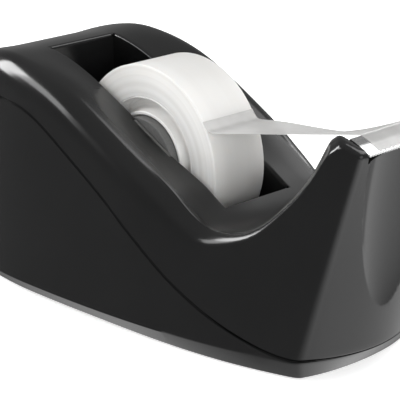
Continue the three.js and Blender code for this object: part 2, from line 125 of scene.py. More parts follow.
def applyModifiers(piece):
    graph = bpy.context.evaluated_depsgraph_get()
    graph.update()
    mesh = bpy.data.meshes.new_from_object(piece.evaluated_get(graph))
    piece.modifiers.clear()
    old = piece.data
    piece.data = mesh
    bpy.data.meshes.remove(old)
    mesh.name = piece.name
    return piece


def combine(piece, tool, how, keepTool=False):
    modifier = piece.modifiers.new("combine", "BOOLEAN")
    modifier.operation = how
    modifier.solver = "MANIFOLD"
    modifier.object = tool
    applyModifiers(piece)
    if not keepTool:
        bpy.data.objects.remove(tool)
    return piece


def copyOf(piece, name):
    twin = piece.copy()
    twin.data = piece.data.copy()
    twin.name = name
    bpy.context.scene.collection.objects.link(twin)
    return twin


def circle(x, y, radius, segments):
    angles = np.linspace(0, 2 * math.pi, segments + 1)[:-1]
    return [(x + radius * math.cos(a), y + radius * math.sin(a)) for a in angles]


def gridSolid(name, rings):
    # Rings of points, capped at both ends; each ring has the same number.
    rings = [np.asarray(r, float) for r in rings]
    n = len(rings[0])
    verts = np.vstack(rings)
    faces = []
    for i in range(len(rings) - 1):
        for j in range(n):
            k = (j + 1) % n
            faces.append((i * n + j, i * n + k, (i + 1) * n + k, (i + 1) * n + j))
    faces.append(tuple(range(n)))
    last = (len(rings) - 1) * n
    faces.append(tuple(last + j for j in reversed(range(n))))
    return cleanUp(makeObject(name, verts, faces))


def sideExtrusion(name, outline, y0, y1):
    # An outline in (x, z) given its width in y.
    near = [(x, y0, z) for x, z in outline]
    far = [(x, y1, z) for x, z in outline]
    n = len(outline)
    faces = [(i, (i + 1) % n, n + (i + 1) % n, n + i) for i in range(n)]
    faces += [tuple(range(n)), tuple(range(2 * n - 1, n - 1, -1))]
    return cleanUp(makeObject(name, near + far, faces))


def boxSolid(name, x0, x1, y0, y1, z0, z1):
    return sideExtrusion(name, [(x0, z0), (x1, z0), (x1, z1), (x0, z1)], y0, y1)


def turned(name, profile, segments):
    # A closed profile of (radius, y) turned about the roll's axis.
    rings = []
    for i in range(segments):
        a = 2 * math.pi * i / segments
        rings.append([(r * math.cos(a), y, r * math.sin(a)) for r, y in profile])
    n = len(profile)
    verts = [v for ring in rings for v in ring]
    faces = []
    for i in range(segments):
        k = (i + 1) % segments
        for j in range(n):
            m = (j + 1) % n
            faces.append((i * n + j, i * n + m, k * n + m, k * n + j))
    return cleanUp(makeObject(name, verts, faces))


def rounded(profile, radius, steps):
    # Rounds each corner of a closed outline, less where its sides are short.
    points = [np.array(p, float) for p in profile]
    n = len(points)
    result = []
    for i, corner in enumerate(points):
        back, ahead = points[i - 1] - corner, points[(i + 1) % n] - corner
        r = min(radius, np.linalg.norm(back) * 0.45, np.linalg.norm(ahead) * 0.45)
        start = corner + back / np.linalg.norm(back) * r
        end = corner + ahead / np.linalg.norm(ahead) * r
        for s in range(steps + 1):
            result.append(bezier([start, corner, end], s / steps))
    return result


def toFrame(piece, lift=0.0):
    piece.data.transform(intoFrame @ Matrix.Translation((0, 0, lift)))
    return piece


def shade(piece, angle, weighted):
    piece.data.shade_smooth()
    piece.data.set_sharp_from_angle(angle=math.radians(angle))
    if weighted:
        modifier = piece.modifiers.new("weighted", "WEIGHTED_NORMAL")
        modifier.keep_sharp = True
        modifier.weight = 60
        applyModifiers(piece)
    return piece


def finishPiece(piece, name, body, nodes, material, angle=35, weighted=True):
    piece.name = name
    piece.data.name = name
    piece.data.materials.clear()
    piece.data.materials.append(material)
    shade(piece, angle, weighted)
    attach(piece, body)
    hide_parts(*nodes)


# Materials

def newMaterial(name):
    material = bpy.data.materials.new(name)
    material.use_nodes = True
    return material, material.node_tree


def feed(tree, socket, value):
    # Links an output to the socket, or sets the socket to a number or colour.
    if isinstance(value, bpy.types.NodeSocket):
        tree.links.new(value, socket)
    else:
        socket.default_value = value


def addNode(tree, kind, inputs):
    node = tree.nodes.new("ShaderNode" + kind)
    for name, value in inputs.items():
        feed(tree, node.inputs[name], value)
    return node.outputs


def setShader(tree, inputs):
    for name, value in inputs.items():
        feed(tree, tree.nodes["Principled BSDF"].inputs[name], value)


def addBump(tree, height, strength, distance):
    bump = {"Strength": strength, "Distance": distance, "Height": height}
    setShader(tree, {"Normal": addNode(tree, "Bump", bump)["Normal"]})


def addPlace(tree):
    # The x, y and z of the point that is shaded.
    place = addNode(tree, "TexCoord", {})["Object"]
    apart = addNode(tree, "SeparateXYZ", {"Vector": place})
    return apart["X"], apart["Y"], apart["Z"]


def addMaths(tree, operation, *values):
    node = tree.nodes.new("ShaderNodeMath")
    node.operation = operation
    for socket, value in zip(node.inputs, values):
        feed(tree, socket, value)
    return node.outputs["Value"]


def addNoise(tree, scale, detail=4, stretch=(1, 1, 1)):
    place = addNode(tree, "TexCoord", {})["Object"]
    stretched = addNode(tree, "Mapping", {"Vector": place, "Scale": stretch})["Vector"]
    return addNode(tree, "TexNoise", {"Vector": stretched, "Scale": scale, "Detail": detail})["Fac"]


def addRange(tree, value, low, high, start=0, end=1, blend="LINEAR"):
    # Runs from low to high while the value goes from start to end.
    spread = tree.nodes.new("ShaderNodeMapRange")
    spread.interpolation_type = blend
    limits = {"From Min": start, "From Max": end, "To Min": low, "To Max": high}
    for name, amount in {**limits, "Value": value}.items():
        feed(tree, spread.inputs[name], amount)
    return spread.outputs["Result"]


def paint(tree, factor, *stops):
    # Colours the shader by a ramp of positions and colours.
    ramp = tree.nodes.new("ShaderNodeValToRGB")
    elements = ramp.color_ramp.elements
    while len(elements) < len(stops):
        elements.new(0.5)
    for element, (position, color) in zip(elements, stops):
        element.position = position
        element.color = (*color, 1)
    feed(tree, ramp.inputs["Fac"], factor)
    setShader(tree, {"Base Color": ramp.outputs["Color"]})


def tinted(color, share):
    return [c * share for c in color]


# The channel beside the roll is less polished than the outside; in metres.
channelWear = {"rougher": 0.26, "half": (0.018, 0.026), "middle": 0.02, "reach": (0.03, 0.045)}


def glossyPlastic(name, color, roughness, smudge=0.03, moulding=0.006):
    # Injection moulded: faint waves from the mould, handling smudges in the gloss.
    material, tree = newMaterial(name)
    handled = addNoise(tree, 45, 6)
    paint(tree, handled, (0.3, color), (0.7, [c * 1.12 + 0.0008 for c in color]))
    gloss = addRange(tree, handled, roughness - smudge, roughness + smudge)
    x, y = addPlace(tree)[:2]
    aside = addMaths(tree, "ABSOLUTE", y)
    worn = addRange(tree, aside, channelWear["rougher"], 0, *channelWear["half"])
    along = addMaths(tree, "ABSOLUTE", addMaths(tree, "SUBTRACT", x, channelWear["middle"]))
    near = addRange(tree, along, 1, 0, *channelWear["reach"])
    setShader(tree, {"Roughness": addMaths(tree, "MULTIPLY_ADD", worn, near, gloss), "IOR": 1.5})
    addBump(tree, addNoise(tree, 28, 1), moulding, 0.004)
    return material


def mattPlastic(name, color, roughness, grain=2600, depth=0.35):
    # Spark-eroded mould texture: a fine even grain.
    material, tree = newMaterial(name)
    fine = addNoise(tree, grain, 3)
    paint(tree, fine, (0.25, tinted(color, 0.86)), (0.75, tinted(color, 1.16)))
    setShader(tree, {"Roughness": roughness})
    addBump(tree, fine, depth, 0.00012)
    return material


def foamRubber(name, color):
    # Closed cells, fine as pin pricks.
    material, tree = newMaterial(name)
    place = addNode(tree, "TexCoord", {})["Object"]
    cells = addNode(tree, "TexVoronoi", {"Vector": place, "Scale": 1500})["Distance"]
    paint(tree, cells, (0.1, tinted(color, 0.5)), (0.5, color))
    setShader(tree, {"Roughness": 0.92})
    addBump(tree, cells, 0.6, 0.0002)
    return material


def castIron(name):
    material, tree = newMaterial(name)
    sand = addNoise(tree, 900, 8)
    paint(tree, addNoise(tree, 60, 5), (0.3, (0.16, 0.16, 0.165)), (0.7, (0.3, 0.295, 0.29)))
    setShader(tree, {"Metallic": 0.7, "Roughness": addRange(tree, sand, 0.5, 0.8)})
    addBump(tree, sand, 0.7, 0.0003)
    return material


def brushedSteel(name, color, roughness, stretch, depth=0.08):
    # Fine grinding lines along one direction.
    material, tree = newMaterial(name)
    lines = addNoise(tree, 500, 3, stretch)
    paint(tree, lines, (0.3, tinted(color, 0.86)), (0.7, color))
    rough = addRange(tree, lines, roughness * 0.8, roughness * 1.25)
    setShader(tree, {"Metallic": 1, "Roughness": rough})
    addBump(tree, lines, depth, 0.00005)
    return material


def glowThrough(tree, roughness, weight, radius):
    # Light spreads a little way under the surface.
    light = {"Subsurface Weight": weight, "Subsurface Radius": radius, "Subsurface Scale": 1.0}
    setShader(tree, {"Roughness": roughness, **light})


def whitePlastic(name, color, roughness):
    material, tree = newMaterial(name)
    haze = addNoise(tree, 120, 4)
    paint(tree, haze, (0.3, tinted(color, 0.96)), (0.7, color))
    glowThrough(tree, roughness, 0.25, (0.003, 0.0027, 0.0025))
    addBump(tree, haze, 0.02, 0.001)
    return material


def woundTape(name):
    # Hundreds of turns of frosted film: fine rings on the sides, and faint
    # bands where some turns lie a little prouder or clearer than others.
    material, tree = newMaterial(name)
    x, y, z = addPlace(tree)
    across = addMaths(tree, "SUBTRACT", x, rollCentre.x)
    up = addMaths(tree, "SUBTRACT", z, rollCentre.z)
    squares = [addMaths(tree, "MULTIPLY", side, side) for side in (across, up)]
    radius = addMaths(tree, "SQRT", addMaths(tree, "ADD", *squares))
    aside = addMaths(tree, "MULTIPLY", y, 0.08)
    where = addNode(tree, "CombineXYZ", {"X": radius, "Y": aside})["Vector"]
    bands = addNode(tree, "TexNoise", {"Vector": where, "Scale": 900, "Detail": 5})["Fac"]
    light, middle, dark = (0.82, 0.815, 0.8), (0.78, 0.775, 0.76), (0.71, 0.7, 0.68)
    paint(tree, bands, (0.3, dark), (0.55, middle), (0.75, light))
    glowThrough(tree, 0.42, 0.35, (0.004, 0.0036, 0.0032))
    addBump(tree, bands, 0.12, 0.0002)
    return material


def frostedFilm(name, barStart):
    # A single thin film: light passes through it, but no sharp image.
    material, tree = newMaterial(name)
    mist = addNoise(tree, 300, 5, (0.25, 1, 1))
    paint(tree, mist, (0.3, (0.64, 0.635, 0.625)), (0.7, (0.71, 0.705, 0.695)))
    # Where it is stuck down on the cutter's bar it turns clear.
    x = addPlace(tree)[0]
    clear = addRange(tree, x, 0.78, 0.42, barStart - 0.002, barStart + 0.001)
    setShader(tree, {"Roughness": 0.35, "Alpha": clear})
    addBump(tree, mist, 0.05, 0.0003)
    return material


caseGloss = glossyPlastic("case_gloss_black", (0.0045, 0.0046, 0.0047), 0.17)
hubMatt = mattPlastic("hub_matt_grey", (0.13, 0.13, 0.128), 0.6)
baseMatt = mattPlastic("base_matt_black", (0.018, 0.018, 0.018), 0.55, 1800)
padFoam = foamRubber("pad_foam_black", (0.03, 0.03, 0.03))
ballastIron = castIron("ballast_iron")
screwZinc = brushedSteel("screw_zinc", (0.62, 0.62, 0.63), 0.32, (1, 1, 0.05))
bladeBright = brushedSteel("blade_bright_steel", (0.76, 0.76, 0.76), 0.13, (1, 0.04, 1))
coreWhite = whitePlastic("core_white_plastic", (0.88, 0.87, 0.85), 0.3)
tapeWound = woundTape("tape_wound")
tapeFilm = frostedFilm("tape_film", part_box("cutter_blade")[0].x)
print("materials made:", len(bpy.data.materials))

# The case: one smooth swoosh, lofted from cross-sections that stand along half
# of its plan outline, then parted at the seam and cut for the roll.
case = {
    "tail": -72.5,
    "nose": 77.3,
    "waist": -22,
    "halfWidth": 34.8,
    "corner": (67.3, 23.2),
    "cornerRound": (2.2, 0.8),
    "frontHalf": 20.6,
    "frontRadius": 35,
    "foot": 0.5,
    "bandHeight": 4.5,
    "bandInset": 3.6,
    "bandNoseInset": 1.4,
    "bandFrontInset": 4.5,
    "frontSeam": 5.7,
    "crest": 67.4,
    "noseTop": 65.2,
    "valley": 34.1,
    "sideTaper": 0.1,
    "noseTaper": 0.26,
    "taperSpan": 60,
    "noseLean": 0.115,
    "wall": 3,
    "shoulderDrop": (8.5, 2.2),
    "ridgeShare": (0.77, 0.93, 0.82),
    "noseFrom": (15, 62),
    "earFrom": (54, 62),
    "dipFrom": (8, 30),
    "creaseFrom": (14, 32),
    "creaseTo": (60, 64),
    "lip": 0.45,
    "lipTurn": 0.3,
    "grooveRadius": 0.42,
    "padInset": 8,
}

crest, valley, noseTop = case["crest"], case["valley"], case["noseTop"]
tailX, noseX = case["tail"], case["nose"]
ridgeLine = smoothLine(
    [
        (tailX, crest - 27.4),
        (tailX + 2.5, crest - 18.4),
        (tailX + 6.5, crest - 10.4),
        (tailX + 12.5, crest - 5.2),
        (tailX + 20.5, crest - 1.9),
        (-41, crest),
        (-30, crest - 0.9),
        (-20, crest - 3.1),
        (-12, crest - 6),
        (-4, crest - 9.9),
        (5, crest - 14.7),
        (15, valley + 13.2),
        (25, valley + 7.6),
        (33, valley + 2.5),
        (40, valley),
        (46.6, valley + 1),
        (51.4, valley + 4.8),
        (55.4, valley + 12.4),
        (58, valley + 19.9),
        (59.7, noseTop - 3.5),
        (60.9, noseTop - 1.4),
        (62.4, noseTop - 0.5),
        (65.3, noseTop - 1.1),
        (67.9, noseTop - 1.9),
        (70.8, noseTop - 2.7),
        (74, noseTop - 3.8),
        (noseX, noseTop - 5),
    ],
    24,
)
seamLine = smoothLine(
    [
        (-100, -5),
        (-84, crest - 53.4),
        (-74, crest - 40.4),
        (-66, crest - 28.4),
        (-56, crest - 18.4),
        (-45, crest - 12.8),
        (-34, crest - 11.5),
        (-22, crest - 14),
        (-5.4, crest - 23),
        (7.3, crest - 31),
        (16.8, crest - 38.2),
        (30.5, valley - 14.8),
        (44.7, valley - 22.3),
        (58.1, case["frontSeam"] + 1.5),
        (66.6, case["frontSeam"]),
        (74, case["frontSeam"]),
        (100, case["frontSeam"]),
    ],
    16,
)


def ridgeHeight(x):
    return np.interp(x, ridgeLine[:, 0], ridgeLine[:, 1])


def loweredRidge(x, thickness):
    across = thickness * np.linspace(-1, 1, 9)
    return np.min(ridgeHeight(x + across) - np.sqrt(thickness**2 - across**2))


well = {
    "half": 12,
    "back": -rollRadius - 10.4,
    "front": rollRadius + 6.6,
    "floor": rollHeight - rollRadius - 4.1,
    "wall": 3.6,
    "floorThick": 2.4,
    "round": 0.9,
}
channel = {"least": 0.4, "slope": 2.5, "valley": 1.1, "middle": 8, "valleyEnd": 55, "closes": (56, 62)}


def channelDepth(x):
    middle, valleyEnd = channel["middle"], channel["valleyEnd"]
    slope = smoothstep(x, well["back"], -middle) * (1 - smoothstep(x, middle, well["front"]))
    dip = channel["least"] + channel["slope"] * slope
    dip += channel["valley"] * smoothstep(x, well["front"], valleyEnd)
    return dip * (1 - smoothstep(x, *channel["closes"]))


def ridgeShareAt(x):
    # How far out the ridge stands, as a share of the section's half width.
    body, nose, ear = case["ridgeShare"]
    return lerp(lerp(body, nose, smoothstep(x, *case["noseFrom"])), ear, smoothstep(x, *case["earFrom"]))


def taperAt(x, z):
    share = lerp(case["sideTaper"], case["noseTaper"], smoothstep(x, 10, 60))
    return 1 - share * (z - case["bandHeight"]) / case["taperSpan"]


frontCentre = noseX - case["frontRadius"]
cornerEnd = np.array(
    [frontCentre + math.sqrt(case["frontRadius"] ** 2 - case["frontHalf"] ** 2), case["frontHalf"]]
)


def planOutline(fineness):
    # (x, half width) from the tail to the middle of the front.
    w, h, (cx, ch) = case["waist"], case["halfWidth"], case["corner"]
    tail = [(tailX, 0), (tailX, h * 0.75), (w - 30, h), (w, h)]
    side = [(w, h), (w + 42, h + 0.2), (cx - 22.3, ch + 7.6), (cx, ch)]
    bend = [(cx, ch), (cx + case["cornerRound"][0], ch - case["cornerRound"][1]), tuple(cornerEnd)]
    points = [bezier(tail, t) for t in np.linspace(0, 1, int(34 * fineness), endpoint=False)]
    points += [bezier(side, t) for t in np.linspace(0, 0.7, int(46 * fineness), endpoint=False)]
    points += [bezier(side, t) for t in np.linspace(0.7, 1, int(64 * fineness), endpoint=False)]
    points += [bezier(bend, t) for t in np.linspace(0, 1, int(8 * fineness), endpoint=False)]
    radius = case["frontRadius"]
    start = math.asin(cornerEnd[1] / radius)
    for angle in np.linspace(start, 0, int(36 * fineness)):
        points.append(np.array([frontCentre + radius * math.cos(angle), radius * math.sin(angle)]))
    return points


def lean(p):
    # Leans the nose forward; its front goes from round at the foot to straight
    # at the top, under the cutter.
    x, y, z = p[:, 0], p[:, 1], p[:, 2]
    share = smoothstep(x, 40, 64)
    rise = z - case["frontSeam"]
    bow = (y / taperAt(x, z) / cornerEnd[1]) ** 2
    flat = np.clip(rise / (noseTop - case["frontSeam"] - 4), 0, 1)
    forward = case["noseLean"] * rise + (noseX - cornerEnd[0]) * bow * flat
    under = case["bandFrontInset"] * np.maximum(0, 1 - bow) * rise / case["frontSeam"]
    forward += np.where(rise < 0, under, 0)
    return np.column_stack([x + share * forward, y, z])


def crossSection(x, half, thickness, bottom, fineness):
    # One half, from the middle of the bottom round to the middle of the top.
    h = half * (1 - thickness / case["halfWidth"])
    top = loweredRidge(x, thickness) if thickness else float(ridgeHeight(x))
    drop = lerp(*case["shoulderDrop"], float(smoothstep(x, *case["noseFrom"])))
    dip = float(channelDepth(x) * smoothstep(half, *case["dipFrom"]))
    inset = lerp(case["bandInset"], case["bandNoseInset"], float(smoothstep(x, -5, case["corner"][0])))
    inset *= half / case["halfWidth"]
    points = [(0, bottom), ((h - inset) * 0.5, bottom), (h - inset, bottom)]
    shoulder = top - drop
    for t in np.linspace(0, 1, int(22 * fineness)):
        z = lerp(case["bandHeight"], shoulder, t)
        points.append((h * float(taperAt(x, z)), z))
    edge = h * float(taperAt(x, shoulder))
    ridge = edge * float(ridgeShareAt(x))
    # The rounded rim ends at a fine lip, sharper from the valley to the nose.
    crease = float(smoothstep(x, *case["creaseFrom"]) * (1 - smoothstep(x, *case["creaseTo"])))
    if thickness:
        crease = 0
    lip = min(case["lip"], 0.3 * (edge - ridge))
    last = math.pi / 2 * (1 - case["lipTurn"] * crease)
    start, rise = ridge + lip, drop - 0.6 * lip * crease
    for a in np.linspace(0, last, int(14 * fineness) + 1)[1:]:
        across = (math.cos(a) - math.cos(last)) / (1 - math.cos(last))
        points.append((start + (edge - start) * across, shoulder + rise * math.sin(a) / math.sin(last)))
    for out, down in ((0.55, 0.25), (0.2, 0.05)):
        points.append((ridge + out * lip, top - down * lip * crease))
    steps = int(26 * fineness)
    level = well["half"] - 1  # the channel is level from here inwards
    for i in range(1, steps + 1):
        y = ridge * (1 - i / steps)
        soft = 1 - float(smoothstep(y, level, ridge)) if ridge > level else 1
        t = min(1, (ridge - y) / max(ridge - level, 1e-3))
        sharp = 1 - (1 - t) ** 2
        points.append((y, top - dip * lerp(soft, sharp, crease)))
    return points


def caseLoft(name, fineness, thickness=0.0, bottom=below):
    middle = (tailX + noseX) / 2
    scale = 1 - 2 * thickness / (noseX - tailX)
    rings = []
    for x, y in planOutline(fineness):
        at = middle + (x - middle) * scale
        half = crossSection(at, max(y, 0), thickness, bottom, fineness)
        mirrored = [(-across, z) for across, z in reversed(half[1:-1])]
        ring = np.array([(at, across, z) for across, z in half + mirrored])
        rings.append(lean(ring))
    return gridSolid(name, rings)


outer = caseLoft("outer", 1.5, bottom=case["foot"])
inner = caseLoft("inner", 0.5, case["wall"])
print("case lofted:", len(outer.data.polygons), "faces")

seat = {"tilt": math.radians(36), "radius": 8.2, "depth": 1.9, "mouth": 60}
seatAlong = np.array([math.sin(seat["tilt"]), math.cos(seat["tilt"])])
seatAcross = np.array([seatAlong[1], -seatAlong[0]])


def seatOutline(radius, reach, steps=40):
    centre = np.array([0, rollHeight])
    points = []
    for i in range(steps + 1):
        a = math.pi * i / steps
        points.append(centre - radius * math.cos(a) * seatAcross - radius * math.sin(a) * seatAlong)
    points.append(centre + radius * seatAcross + reach * seatAlong)
    points.append(centre - radius * seatAcross + reach * seatAlong)
    return points


cutter = {
    "half": 13.6,
    "thick": 0.6,
    "rear": np.array([noseX, noseTop - 0.8]),
    "fold": np.array([noseX + 3.2, noseTop - 2]),
    "tip": np.array([noseX + 6.6, noseTop - 3.8]),
    "carrierDrop": 4.4,
    "block": 9.3,
    "blockWall": 2,
    "ramp": (-16, -7.5),
    "rampEnd": (-0.9, -1.2),
}
pocketFloor = cutter["rear"][1] - cutter["thick"] - cutter["carrierDrop"]
scoop = {"deep": 8.4, "across": 17.3, "tall": 41, "standOff": 5, "height": 50, "wall": 2.2, "steps": 96}


def nosePocket(name):
    # A ramp for the tape, then the pocket that holds the cutter.
    ramp, back = cutter["rear"] + cutter["ramp"], cutter["rear"] + cutter["rampEnd"]
    outline = [
        (ramp[0], farZ),
        tuple(ramp),
        tuple(back),
        (back[0], pocketFloor),
        (farX, pocketFloor),
        (farX, farZ),
    ]
    reach = cutter["half"] + gap
    return sideExtrusion(name, outline, -reach, reach)


def scoopBall(name, grow=0.0):
    tilt = math.atan(case["noseLean"])
    faceX = noseX + case["noseLean"] * (scoop["height"] - case["frontSeam"])
    steps = scoop["steps"]
    rings = []
    for i in range(steps + 1):
        polar = math.pi * i / steps
        ring = []
        for j in range(steps):
            a = 2 * math.pi * j / steps
            x = (scoop["deep"] + grow) * math.sin(polar) * math.cos(a) + scoop["standOff"]
            y = (scoop["across"] + grow) * math.sin(polar) * math.sin(a)
            z = -(scoop["tall"] + grow) * math.cos(polar)
            turnedX = x * math.cos(tilt) + z * math.sin(tilt)
            turnedZ = -x * math.sin(tilt) + z * math.cos(tilt)
            ring.append((turnedX + faceX, y, turnedZ + scoop["height"]))
        rings.append(ring)
    return gridSolid(name, rings)


def edgeRounder(name, path, outA, outB, radius, steps=6):
    # Cuts a round on a convex edge: outA and outB point out of its two faces.
    rings = []
    proud = 0.6
    for corner, a, b in zip(path, outA, outB):
        corner, a, b = (np.array(v, float) for v in (corner, a, b))
        middle = corner - radius * (a + b)
        ring = [corner + proud * (a + b), corner - radius * b + proud * a]
        for s in range(steps + 1):
            t = math.pi / 2 * s / steps
            ring.append(middle + radius * (a * math.cos(t) + b * math.sin(t)))
        ring.append(corner - radius * a + proud * b)
        rings.append(ring)
    return gridSolid(name, rings)


def channelHeight(x, y):
    # Height of the top between the rims, before the nose leans.
    half = np.interp(x, outlineX, outlineY)
    top = ridgeHeight(x)
    ridge = half * taperAt(x, top - case["shoulderDrop"][0]) * ridgeShareAt(x)
    dip = channelDepth(x) * smoothstep(half, *case["dipFrom"])
    soft = 1 - smoothstep(abs(y), well["half"] - 1, ridge)
    return top - dip * soft


outlinePoints = np.array(planOutline(1.0))
outlineX, outlineY = outlinePoints[:, 0], outlinePoints[:, 1]


def wellRounders():
    # Rounds for the well's rim: near side, far side, front, back.
    tools = []
    radius, past = well["round"], 0.4
    xs = np.linspace(well["back"] - past, well["front"] + past, 60)
    for side in (-1, 1):
        path = [(x, side * well["half"], float(channelHeight(x, well["half"]))) for x in xs]
        out = [(0, -side, 0)] * len(xs)
        normals = []
        for i in range(len(path)):
            a, b = path[max(i - 1, 0)], path[min(i + 1, len(path) - 1)]
            along = np.array([b[0] - a[0], 0, b[2] - a[2]])
            along /= np.linalg.norm(along)
            normals.append((-along[2], 0, along[0]))
        tools.append(edgeRounder("rounder", path, out, normals, radius))
    for x, away in ((well["front"], -1), (well["back"], 1)):
        ys = np.linspace(-well["half"] - past, well["half"] + past, 9)
        path = [(x, y, float(channelHeight(x, y))) for y in ys]
        slope = math.atan(float(channelHeight(x + 0.5, 0) - channelHeight(x - 0.5, 0)))
        up = (-math.sin(slope), 0, math.cos(slope))
        outs, ups = [(away, 0, 0)] * len(ys), [up] * len(ys)
        tools.append(edgeRounder("rounder", path, outs, ups, radius))
    return tools


def seamGroove():
    # A fine groove where the two shells meet: a thin tube round the outside.
    path = []
    for x, half in planOutline(1.5):
        z = float(np.interp(x, seamLine[:, 0], seamLine[:, 1])) - gap / 2
        path.append((x, half * float(taperAt(x, z)), z))
    path = lean(np.array(path))
    loop = np.vstack([path, [(x, -y, z) for x, y, z in path[-2:0:-1]]])
    n, sides = len(loop), 8
    verts = []
    for i in range(n):
        along = loop[(i + 1) % n] - loop[i - 1]
        along /= np.linalg.norm(along)
        out = np.cross(along, (0, 0, 1.0))
        out /= np.linalg.norm(out)
        up = np.cross(out, along)
        for a, b in circle(0, 0, case["grooveRadius"], sides):
            verts.append(loop[i] + a * out + b * up)
    faces = []
    for i in range(n):
        k = (i + 1) % n
        for j in range(sides):
            m = (j + 1) % sides
            faces.append((i * sides + j, i * sides + m, k * sides + m, k * sides + j))
    return cleanUp(makeObject("groove", verts, faces))


screw = {
    "head": 2.9,
    "headHeight": 1.2,
    "shank": 1.4,
    "threadDepth": 0.28,
    "pitch": 0.9,
    "slot": (0.75, 3),
    "slotDepth": 0.85,
    "boss": 3.6,
    "bossFoot": 4.4,
    "pilot": 11,
}
screwNodes = [n for n in sorted(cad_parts) if n.endswith("_screw") or n.startswith("case_screw")]


def pillar(name, x, y, z0, z1, radius, segments=48):
    around = circle(x, y, radius, segments)
    return gridSolid(name, [[(*p, z) for p in around] for z in (z0, z1)])


def placeOf(node):
    # (x, y, foot, top) of an upright piece.
    low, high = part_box(node)
    return (
        ((low.x + high.x) / 2 - rollCentre.x) / millimetre,
        (low.y + high.y) / 2 / millimetre,
        low.z / millimetre,
        high.z / millimetre,
    )


print("cutting the shells")
seamPoints = [tuple(p) for p in seamLine]
aboveSeam = sideExtrusion("above", seamPoints + [(farX, farZ), (-farX, farZ)], -farY, farY)
lowered = [(x, z - gap) for x, z in seamPoints]
belowSeam = sideExtrusion("below", lowered + [(farX, 3 * below), (-farX, 3 * below)], -farY, farY)
hollow = copyOf(outer, "hollow")
combine(hollow, inner, "DIFFERENCE")

lowerHousing = copyOf(hollow, "lower_housing_shell")
combine(lowerHousing, belowSeam, "INTERSECT")
combine(lowerHousing, seamGroove(), "DIFFERENCE")

topShell = hollow
combine(topShell, aboveSeam, "INTERSECT", keepTool=True)


def addToTopShell(piece):
    combine(piece, outer, "INTERSECT", keepTool=True)
    combine(topShell, piece, "UNION")


wall = well["wall"]
tubEnds = (well["back"] - wall, well["front"] + wall, -well["half"] - wall, well["half"] + wall)
addToTopShell(boxSolid("tub", *tubEnds, well["floor"] - well["floorThick"], farZ))
behindScoop = scoopBall("behind_scoop", scoop["wall"])
combine(behindScoop, outer, "INTERSECT", keepTool=True)
combine(behindScoop, aboveSeam, "INTERSECT")
combine(topShell, behindScoop, "UNION")
blockHalf, blockFoot = cutter["half"] + cutter["blockWall"], pocketFloor - well["floorThick"]
addToTopShell(boxSolid("block", noseX - cutter["block"], farX, -blockHalf, blockHalf, blockFoot, farZ))
bosses = [placeOf(node)[:2] for node in screwNodes if node.startswith("case")]
for x, y in bosses:
    addToTopShell(pillar("boss", x, y, screw["bossFoot"], farZ, screw["boss"]))

openings = [
    boxSolid("well", well["back"], well["front"], -well["half"], well["half"], well["floor"], farZ)
]
for x, y in bosses:
    openings.append(pillar("pilot", x, y, below, screw["bossFoot"] + screw["pilot"], screw["shank"] + gap))
for side in (-1, 1):
    reach = sorted((side * (well["half"] - 1), side * (well["half"] + seat["depth"])))
    openings.append(sideExtrusion("seat", seatOutline(seat["radius"], seat["mouth"]), *reach))
for tool in openings:
    combine(topShell, tool, "DIFFERENCE")
rimRounders = wellRounders()
for tool in rimRounders:
    combine(topShell, tool, "DIFFERENCE", keepTool=True)
for tool in (nosePocket("pocket"), scoopBall("scoop"), seamGroove()):
    combine(topShell, tool, "DIFFERENCE")
plateLoft = caseLoft("plate", 0.6, case["wall"] + gap)
padLoft = caseLoft("pad", 0.6, case["padInset"])
toFrame(topShell)
toFrame(lowerHousing)
finishPiece(topShell, "top_shell_skin", "case", ["top_shell"], caseGloss)
finishPiece(lowerHousing, "lower_housing_skin", "case", ["lower_housing"], caseGloss)
print("shells cut:", len(topShell.data.polygons), len(lowerHousing.data.polygons))

# The roll: hundreds of turns of film on a moulded core.
roll = {"segments": 240, "edge": 0.25, "ripple": 0.03, "sideSteps": 26, "clearance": 0.08}


def buildRoll():
    inside, outside = core["outer"] + roll["clearance"], rollRadius
    steps = roll["sideSteps"]
    side = []
    for i in range(steps + 1):
        r = lerp(inside + 0.1, outside - roll["edge"], i / steps)
        side.append((r, tapeHalf - roll["ripple"] * (1 + math.sin(2.9 * i) * math.cos(1.7 * i)) / 2))
    edge = roll["edge"]
    corner = [
        (outside - edge * (1 - math.sin(t)), tapeHalf - edge * (1 - math.cos(t)))
        for t in np.linspace(0, math.pi / 2, 5)[1:]
    ]
    half = [(inside, tapeHalf - 0.15)] + side + corner
    profile = half + [(r, -y) for r, y in reversed(half)]
    piece = turned("roll", profile, roll["segments"])
    toFrame(piece, rollHeight)
    finishPiece(piece, "tape_roll_wound", "spool", ["tape_roll"], tapeWound, 40, False)


core = {"bore": 12.7, "ring": 13.7, "outer": 17.8, "wall": 0.35, "web": 4.8, "flare": 15.9}


def buildCore():
    half = [
        (core["bore"], tapeHalf - 0.25),
        (core["bore"] + 0.25, tapeHalf),
        (core["ring"] - 0.2, tapeHalf),
        (core["ring"], tapeHalf - 0.2),
    ]
    for t in np.linspace(0, 1, 10)[1:]:
        # The ring flares into the web in one soft cone.
        r = lerp(core["ring"], core["flare"], t * t)
        half.append((r, lerp(tapeHalf - 0.2, core["web"] + 0.6, math.sin(t * math.pi / 2))))
    rim = core["outer"] - core["wall"]
    half += [
        (lerp(core["flare"], rim, 0.4), core["web"]),
        (rim - 0.5, core["web"]),
        (rim, core["web"] + 0.5),
        (rim, tapeHalf - 0.15),
        (rim + 0.15, tapeHalf),
        (core["outer"] - 0.15, tapeHalf),
        (core["outer"], tapeHalf - 0.15),
    ]
    profile = half + [(r, -y) for r, y in reversed(half)]
    piece = turned("core", profile, 144)
    toFrame(piece, rollHeight)
    finishPiece(piece, "tape_core_moulded", "spool", ["tape_core"], coreWhite, 40, False)


